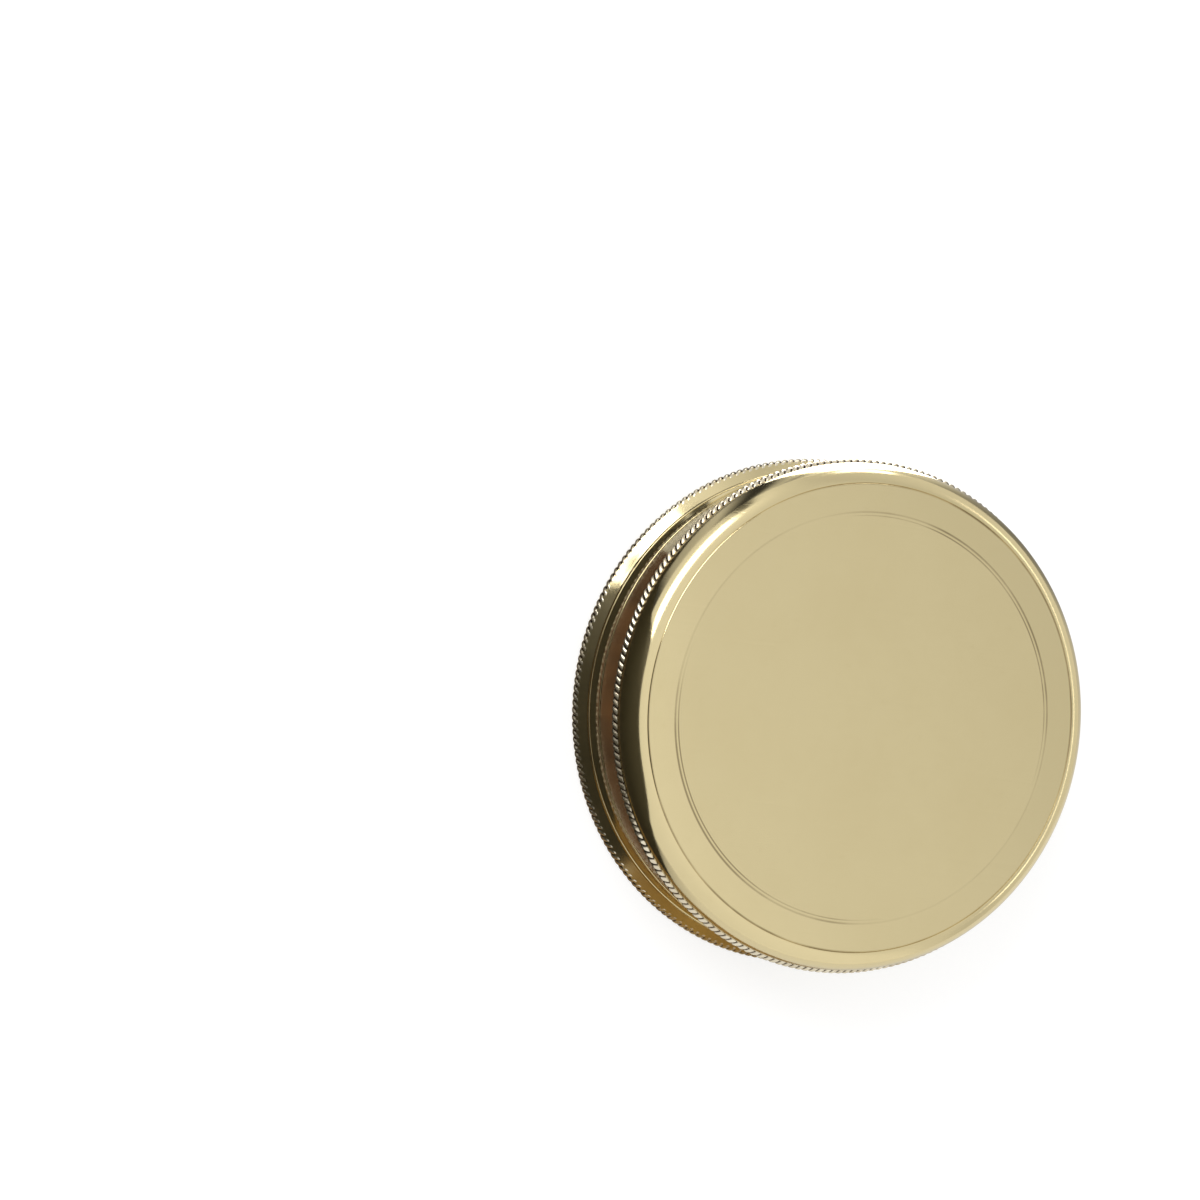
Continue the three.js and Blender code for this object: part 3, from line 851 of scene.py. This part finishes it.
def makeGlass():
    low, high = span("glass_gasket")
    section = ring(high.x - glazing["gasketWidth"], high.x, low.z, high.z, 0.1)
    turnedPiece("glass_seal", section, "rubber", "case", ["glass_gasket"], closed=True)
    low, high = span("glass")
    corners = [(0, low.z), (high.x, low.z, 0.25), (high.x, high.z, 0.25), (0, high.z)]
    turnedPiece("window_glass", corners, "glass", "case", ["glass"])
    low, high = span("glass_ring")
    inner = high.x - glazing["ringWidth"]
    corners = [(inner + 0.3, low.z), (high.x, low.z, 0.06), (high.x, high.z, 0.1), (inner + 0.8, high.z, 0.12),
               (inner, low.z + 0.3, 0.06)]
    blank = turnedSolid(corners, closed=True)
    slots = [block(glazing["key"], Matrix.Translation((side * (inner + 1), 0, high.z))) for side in (-1, 1)]
    finishPiece(cutAway(blank, join(slots)), "glass_bezel", "small", "case", ["glass_ring"])


makeGlass()
print("glass made")

# Calendar under the foot. The ring has 28 places, because the weekdays of the years repeat after 28.
# Turning the disc until a month meets a year brings the right weekdays over the columns of days.

calendar = {"places": 28, "firstYear": 2001, "yearRows": (30.9, 27.6), "yearSize": 1.75, "weekdayRadius": 17.0,
            "weekdaySize": 2.4, "monthRadius": 22.2, "monthSize": 1.75,
            "dayRows": (13.7, 11.9, 10.15, 8.5, 6.95), "daySizes": (1.75, 1.6, 1.4, 1.2, 1.0),
            "windowInner": 15.4, "windowOuter": 18.6, "windowAngle": 82.0, "hole": 2.08, "pegCircle": 20.8,
            "peg": 1.1, "rivet": 3.4, "rivetShank": 2.0, "lineWidth": 0.12,
            "plateLines": (25.4, 32.3), "discLines": (4.9, 14.85, 19.3, 24.0), "divider": (0.09, 6.2, 28.9)}
pegPlace = (0, -calendar["pegCircle"], 0)
weekdays = "SMTWTFS"
months = {"JAN": 0, "FEB": 3, "MAR": 3, "APR": 6, "MAY": 1, "JUN": 4, "JUL": 6, "AUG": 2, "SEP": 5, "OCT": 0,
          "NOV": 3, "DEC": 5}
leapMonths = {"JAN": 6, "FEB": 2}
placeAngle = 360 / calendar["places"]


def freePlaces(wanted):
    # Gives each wanted remainder of seven the next free place round the ring
    taken, start = [], 0
    for remainder in wanted:
        places = [(start + step) % calendar["places"] for step in range(calendar["places"])]
        place = next(p for p in places if p % 7 == remainder and p not in taken)
        taken.append(place)
        start = place
    return taken


def calendarPrint(name, black, red, body):
    finishPiece(moved(black, under), name, "ink", body, smooth=False)
    finishPiece(moved(red, under), name + "_leap", "red", body, smooth=False)


def makeCalendarPlate():
    low, high = span("calendar_plate")
    blank = turnedSolid(ring(calendar["hole"], high.x, low.z, high.z, 0.08), closed=True)
    holes = [drill("calendar_plate", place) for place in calendarScrewPlaces]
    finishPiece(cutAway(blank, join(holes)), "year_plate", "silver", "case",
                ["calendar_plate"])
    height = -low.z + inkDepth / 2
    black, red = bmesh.new(), bmesh.new()
    years = [calendar["firstYear"] + i for i in range(calendar["places"])]
    remainders = [(year + year // 4 - year // 100 + year // 400) % 7 for year in years]
    for year, place in zip(years, freePlaces(remainders)):
        for shown, radius in zip((year, year + calendar["places"]), calendar["yearRows"]):
            addText(black if shown % 4 else red, str(shown), calendar["yearSize"],
                    roundAt(place * placeAngle, radius, height))
    for place in range(calendar["places"]):
        addText(black, weekdays[place % 7], calendar["weekdaySize"],
                roundAt(place * placeAngle, calendar["weekdayRadius"], height))
        if place % 7 != 3:  # the plate's screws stand in these
            width, length, radius = calendar["divider"]
            matrix = roundAt((place + 0.5) * placeAngle, radius, height)
            addSolid(black, block((width, length, inkDepth), matrix))
    for radius in calendar["plateLines"]:
        addCircleLine(black, radius, calendar["lineWidth"], height)
    calendarPrint("year_print", black, red, "case")


def windowCutter(low, high):
    half = math.radians(calendar["windowAngle"] / 2)
    inner, outer = calendar["windowInner"], calendar["windowOuter"]
    middle, end = (inner + outer) / 2, (outer - inner) / 2
    outline = []
    for radius, first, last in ((outer, -half, half), (inner, half, -half)):
        for i in range(41):
            angle = first + (last - first) * i / 40
            outline.append((radius * math.sin(angle), radius * math.cos(angle)))
        side = 1 if last > 0 else -1
        for i in range(1, 12):
            swing = math.pi * i / 12
            reach = middle + end * math.cos(swing) * side
            push = end * math.sin(swing) * side
            angle = half * side
            outline.append((reach * math.sin(angle) + push * math.cos(angle),
                            reach * math.cos(angle) - push * math.sin(angle)))
    cutter = bmesh.new()
    addFlat(cutter, [outline], high - low, Matrix.Translation((0, 0, (low + high) / 2)))
    bmesh.ops.remove_doubles(cutter, verts=cutter.verts, dist=0.0005)
    bmesh.ops.recalc_face_normals(cutter, faces=cutter.faces)
    return cutter


def makeCalendarDisc():
    low, high = span("calendar_disc")
    corners = [(calendar["hole"], low.z), (high.x, low.z, 0.2), (high.x, high.z), (calendar["hole"], high.z)]
    blank = turnedSolid(corners, closed=True)
    cutters = join([windowCutter(low.z - 1, high.z + 1), drill("calendar_disc", pegPlace)])
    finishPiece(cutAway(blank, cutters), "month_disc", "calendar", "calendar",
                ["calendar_disc"])
    height = -low.z + inkDepth / 2
    black, red = bmesh.new(), bmesh.new()
    for day in range(31):
        row, column = divmod(day, 7)
        addText(black, str(day + 1), calendar["daySizes"][row],
                roundAt((column - 3) * placeAngle, calendar["dayRows"][row], height))
    remainders = [(-offset - 3) % 7 for offset in (*months.values(), *leapMonths.values())]
    for index, (month, place) in enumerate(zip((*months, *leapMonths), freePlaces(remainders))):
        addText(black if index < 12 else red, month, calendar["monthSize"],
                roundAt(place * placeAngle, calendar["monthRadius"], height))
    for radius in calendar["discLines"]:
        addCircleLine(black, radius, calendar["lineWidth"], height)
    calendarPrint("month_print", black, red, "calendar")


def makeCalendarPivot():
    low, high = span("calendar_peg")
    shoulder = span("calendar_disc")[0].z - 0.05
    knob, shank = calendar["peg"], screw["shank"]
    corners = [(0, low.z), (knob, low.z, 0.4), (knob, shoulder, 0.05), (shank, shoulder), (shank, high.z),
               (0, high.z)]
    peg = placed(turnedSolid(corners, steps=48), pegPlace)
    finishPiece(peg, "finger_peg", "small", "calendar", ["calendar_peg"])
    low, high = span("calendar_washer")
    hole = calendar["hole"]
    corners = [(hole, low.z), (high.x, high.z - 0.2, 0.04), (high.x, high.z, 0.04), (hole, low.z + 0.2)]
    turnedPiece("spring_washer", corners, "steel", "case", ["calendar_washer"], closed=True,
                steps=96)
    headTop = low.z - 0.05
    low, high = span("calendar_rivet")
    head, shank = calendar["rivet"], calendar["rivetShank"]
    corners = [(0, low.z), (shank, low.z + 0.06, 0.4), (head - 0.4, low.z + 0.2, 0.5),
               (head, headTop - 0.12, 0.1), (head, headTop), (shank, headTop), (shank, high.z), (0, high.z)]
    turnedPiece("calendar_pin", corners, "small", "case", ["calendar_rivet"], steps=96)


makeCalendarPlate()
makeCalendarDisc()
makeCalendarPivot()
print("calendar made")

# Studio: white paper, an uneven white room, four soft boxes, and boards and mats that only reflections see

studio = {
    "windowSide": (0.45, -0.89, 0.0),
    "room": (  # brightness, from across the room at -1 to the window's side at 1
        (-1.0, 0.86), (-0.62, 0.74), (-0.5, 0.65), (-0.47, 0.683), (-0.437, 0.73), (-0.427, 0.79),
        (-0.353, 0.79), (-0.345, 0.85), (-0.307, 0.905), (-0.27, 0.98), (1.0, 0.88)),
    "tallBox": {"place": (-1.02, -1.0, 1.19), "size": (1.25, 0.9), "level": 4.0},
    "farBox": {"place": (-0.15, 0.95, 0.84), "size": (1.2, 0.12), "level": 1.6},
    "lowBox": {"place": (-1.0, 0.32, 0.12), "size": (0.26, 0.22), "level": 4.0},
    "floorBox": {"place": (-0.12, 0.016, 0.001), "size": (0.17, 0.034), "level": 5.0, "turn": -11},
    # Boards bent round the left side: tops in millimetres, at degrees from -Y towards +X
    "screen": {"radius": 47.0, "finish": "card", "tops": (
        (-62, 1), (-34.4, 10.9), (-28.3, 10.4), (-22.5, 15.3), (-17.5, 21.7), (-13.9, 34), (-8.8, 38),
        (20.7, 38), (25.1, 36), (29.3, 29.5), (33.6, 22.6), (38.7, 19), (44.4, 14.6), (51.3, 9.6), (62, 1))},
    "sill": {"radius": 46.0, "finish": "amber", "tops": ((20, 0), (50, 9), (64, 12), (84, 10), (108, 1))},
    # Outline on the plane x = -1, as (along, up)
    "flag": ((-0.46, 0.0), (-0.3, 0.0), (-0.28, 0.55), (-0.38, 0.55)),
    "mat": {"inner": 0.0385, "outer": 0.98, "first": 0, "last": 360, "height": 0.02},
    "footMat": {"inner": 0.0383, "outer": 0.05, "first": -38, "last": 62, "height": 0.1},
    # Degrees from -Y towards +X
    "matTones": (
        (-180, 0.65), (-160, 0.5), (-150, 0.28), (-137, 0.2), (-125, 0.3), (-115, 0.6), (-96, 0.85), (-90, 0.7),
        (-85, 0.2), (-80, 0.55), (-75, 0.35), (-71, 0.03), (-65, 0.03), (-61, 0.2), (-55, 0.55), (-45, 0.45),
        (-36, 0.4), (-29, 0.045), (20, 0.03), (47, 0.05), (53, 0.5), (70, 0.75), (165, 0.8), (180, 0.65)),
}


def paperMaterial():
    # White where it is seen, with the compass's shadow on it, plain white paper for the light it gives
    # back, and open from below
    material, tree, shader = newMaterial(
        "white paper", {"Base Color": grey(0.8), "Roughness": 0.9, "Specular IOR Level": 0.0})
    shaded = addNode(tree, "ShaderNodeBsdfDiffuse", {"Color": grey(0.45)})
    glow = addNode(tree, "ShaderNodeEmission", {"Strength": 0.62})
    seen = addNode(tree, "ShaderNodeAddShader", {0: shaded.outputs[0], 1: glow.outputs[0]})
    rays = addNode(tree, "ShaderNodeLightPath").outputs
    either = calculate(tree, "MAXIMUM", rays["Is Camera Ray"], rays["Is Glossy Ray"])
    direct = calculate(tree, "MAXIMUM", either, rays["Is Transmission Ray"])
    above = mixShaders(tree, direct, shader.outputs[0], seen.outputs[0])
    underside = addNode(tree, "ShaderNodeNewGeometry").outputs["Backfacing"]
    clear = addNode(tree, "ShaderNodeBsdfTransparent").outputs[0]
    feed(tree, tree.nodes["Material Output"].inputs["Surface"], mixShaders(tree, underside, above, clear))
    return material


def makeFloor():
    bm = bmesh.new()
    bmesh.ops.create_grid(bm, x_segments=1, y_segments=1, size=3)
    bmesh.ops.translate(bm, vec=(0, 0, -0.02 * mm), verts=bm.verts)
    floor = asObject(bm, "floor")
    floor.data.materials.append(paperMaterial())


def makeSoftBox(name, box):
    # A box with a turn lies on the floor and shines upwards, and the others point at the compass
    light = bpy.data.lights.new(name, "AREA")
    light.shape = "RECTANGLE"
    light.size, light.size_y = box["size"]
    light.energy = box["level"] * math.pi * light.size * light.size_y
    lamp = bpy.data.objects.new(name, light)
    scene.collection.objects.link(lamp)
    lamp.location = box["place"]
    if "turn" in box:
        lamp.rotation_euler = (math.pi, 0, math.radians(box["turn"]))
    else:
        lamp.rotation_euler = (Vector((0, 0, 0.01)) - Vector(box["place"])).to_track_quat("-Z", "Y").to_euler()
    lamp.visible_camera = False


def standCard(bm, name, material):
    # Seen only in the metal
    card = asObject(bm, name)
    card.data.materials.append(material)
    card.visible_camera = False
    card.visible_diffuse = False
    card.visible_transmission = False
    card.visible_shadow = False


def makeFlag():
    bm = bmesh.new()
    bm.faces.new([bm.verts.new((-1, y, z)) for y, z in studio["flag"]])
    standCard(bm, "flag", finishes["card"])


def bentSheet(columns, place):
    # A sheet with both coordinates from 0 to 1, bent by a function that gives each corner its place
    bm = bmesh.new()
    bmesh.ops.create_grid(bm, x_segments=columns, y_segments=1, size=0.5)
    for vert in bm.verts:
        turn, reach, height = place(vert.co.x + 0.5, vert.co.y + 0.5)
        vert.co = (reach * math.sin(math.radians(turn)), -reach * math.cos(math.radians(turn)), height)
    return bm


def makeBoard(name, board):
    tops = board["tops"]

    def place(along, up):
        turn = tops[0][0] + (tops[-1][0] - tops[0][0]) * along
        index = max(i for i in range(len(tops) - 1) if turn >= tops[i][0] - 0.001)
        (before, low), (after, high) = tops[index:index + 2]
        return turn, board["radius"] * mm, (low + (high - low) * (turn - before) / (after - before)) * mm * up

    standCard(bentSheet(128, place), name, finishes[board["finish"]])


def makeMat(name, mat, material):
    def place(along, out):
        return (mat["first"] + (mat["last"] - mat["first"]) * along,
                mat["inner"] + (mat["outer"] - mat["inner"]) * out, mat["height"] * mm)

    standCard(bentSheet(96, place), name, material)


def matMaterial():
    material, tree, shader = newMaterial("mat", {"Roughness": 0.9, "Specular IOR Level": 0.0})
    place = splitUp(tree, objectPlace(tree))
    angle = calculate(tree, "ARCTAN2", place["X"], calculate(tree, "MULTIPLY", place["Y"], -1))
    stops = [(0.5 + turn / 360, level) for turn, level in studio["matTones"]]
    feed(tree, shader.inputs["Base Color"], ramp(tree, mapRange(tree, angle, -math.pi, math.pi), stops))
    return material


def makeWorld():
    world = bpy.data.worlds.new("studio")
    world.use_nodes = True
    tree = world.node_tree
    tree.nodes.clear()
    # A room is never quite even: a little brighter on the window's side and darker across from it
    place = addNode(tree, "ShaderNodeTexCoord").outputs["Generated"]
    lean = addNode(tree, "ShaderNodeVectorMath", {0: place, 1: studio["windowSide"]}, operation="DOT_PRODUCT")
    stops = [((side + 1) / 2, level) for side, level in studio["room"]]
    tone = ramp(tree, mapRange(tree, lean.outputs["Value"], -1, 1), stops)
    room = addNode(tree, "ShaderNodeBackground", {"Color": tone}).outputs[0]
    white = addNode(tree, "ShaderNodeBackground", {"Color": grey(1)}).outputs[0]
    seen = addNode(tree, "ShaderNodeLightPath").outputs["Is Camera Ray"]
    addNode(tree, "ShaderNodeOutputWorld", {"Surface": mixShaders(tree, seen, room, white)})
    scene.world = world


makeFloor()
makeWorld()
for name in ("tallBox", "lowBox", "farBox", "floorBox"):
    makeSoftBox(name, studio[name])
makeFlag()
for name in ("screen", "sill"):
    makeBoard(name, studio[name])
makeMat("mat", studio["mat"], matMaterial())
makeMat("foot_mat", studio["footMat"], finishes["board"])
print("studio made")
